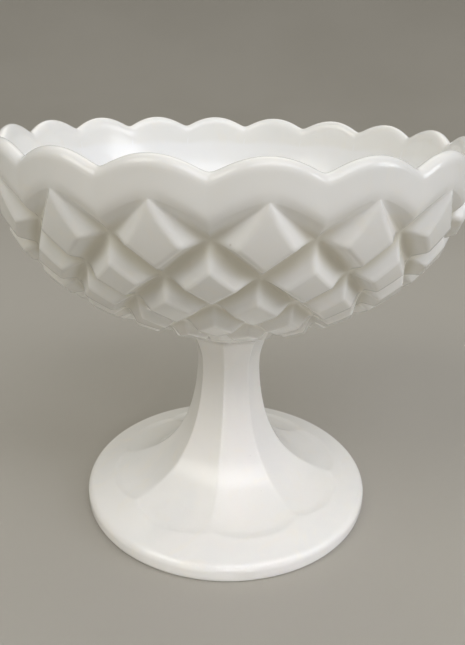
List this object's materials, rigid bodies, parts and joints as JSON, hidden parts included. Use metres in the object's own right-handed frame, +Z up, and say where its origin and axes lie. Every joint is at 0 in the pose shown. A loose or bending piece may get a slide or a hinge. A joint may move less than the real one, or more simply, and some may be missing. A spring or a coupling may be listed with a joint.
{
  "type": "pedestal compote bowl",
  "caption": "Footed round serving bowl in opaque white pressed glass: scalloped rim, raised diamond wall, panelled stem flaring into a round foot.",
  "frame": {"origin": "centre of the foot's underside, on the surface that the bowl stands on", "axes": "+Z up along the axis of the bowl, stem and foot; -Y is the side that faces the viewer"},
  "size_m": [0.1654, 0.1654, 0.1483],
  "materials": {
    "bowl": "glossy opaque white",
    "joining_wafer": "glossy opaque white",
    "pedestal": "glossy opaque white"
  },
  "bodies": {
    "root": {"bowl": "bowl", "joining_wafer": "joining_wafer", "pedestal": "pedestal"}
  },
  "joints": []
}
